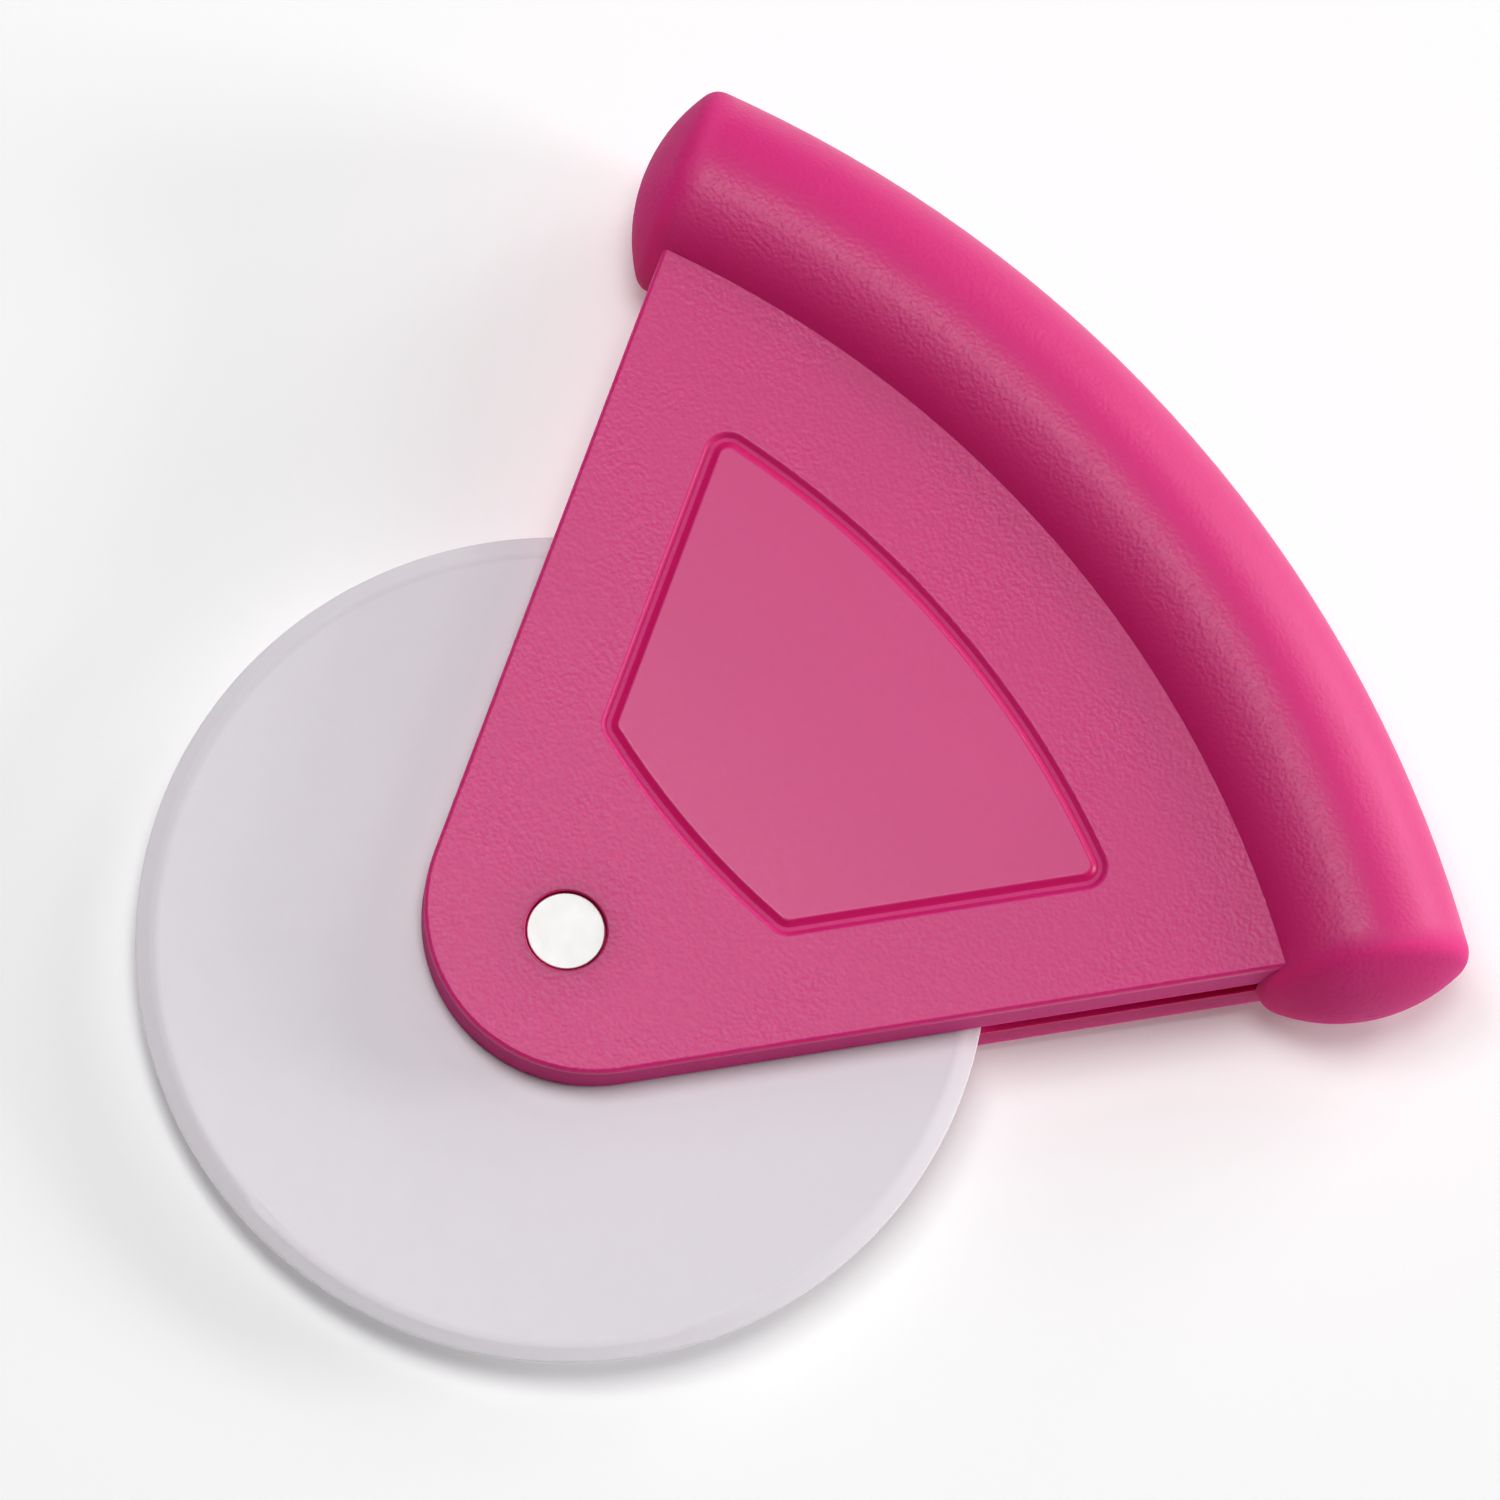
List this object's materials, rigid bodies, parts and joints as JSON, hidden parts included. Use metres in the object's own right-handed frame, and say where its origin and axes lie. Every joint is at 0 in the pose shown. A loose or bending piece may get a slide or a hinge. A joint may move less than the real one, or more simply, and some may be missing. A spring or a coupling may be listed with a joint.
{
  "type": "pizza wheel",
  "caption": "Slice-shaped pizza wheel: a bevelled plastic cutting disc turns on a flush riveted axle in the slot between slice-shaped cheeks, and a round arched crust is the grip.",
  "frame": {"origin": "on the plane that the crust's back lies on, under the middle of the object's box", "axes": "+Z along the wheel's axle, out of the front cheek; +Y along the slice's centre line, from the tip to the crust; +X to the right seen from the front"},
  "size_m": [0.0968, 0.1036, 0.0178],
  "materials": {
    "magenta_plastic": "fine spark-eroded grain, smooth on the panel",
    "white_plastic": "smooth satin moulded",
    "bush_plastic": "smooth moulded",
    "rivet_metal": "satin"
  },
  "bodies": {
    "handle": {"front_cheek": "magenta_plastic", "rear_cheek": "magenta_plastic", "slot_spacer": "magenta_plastic", "crust_grip": "magenta_plastic", "crust_cap_left": "magenta_plastic", "crust_cap_right": "magenta_plastic", "wheel_bush": "bush_plastic", "axle_post": "rivet_metal", "axle_pin": "rivet_metal"},
    "wheel": {"cutting_wheel": "white_plastic"}
  },
  "joints": [
    {"name": "wheel_spin", "type": "hinge", "parent": "handle", "child": "wheel", "pos_m": [0, -0.0168, 0.0089], "axis": [0, 0, 1], "continuous": true}
  ]
}
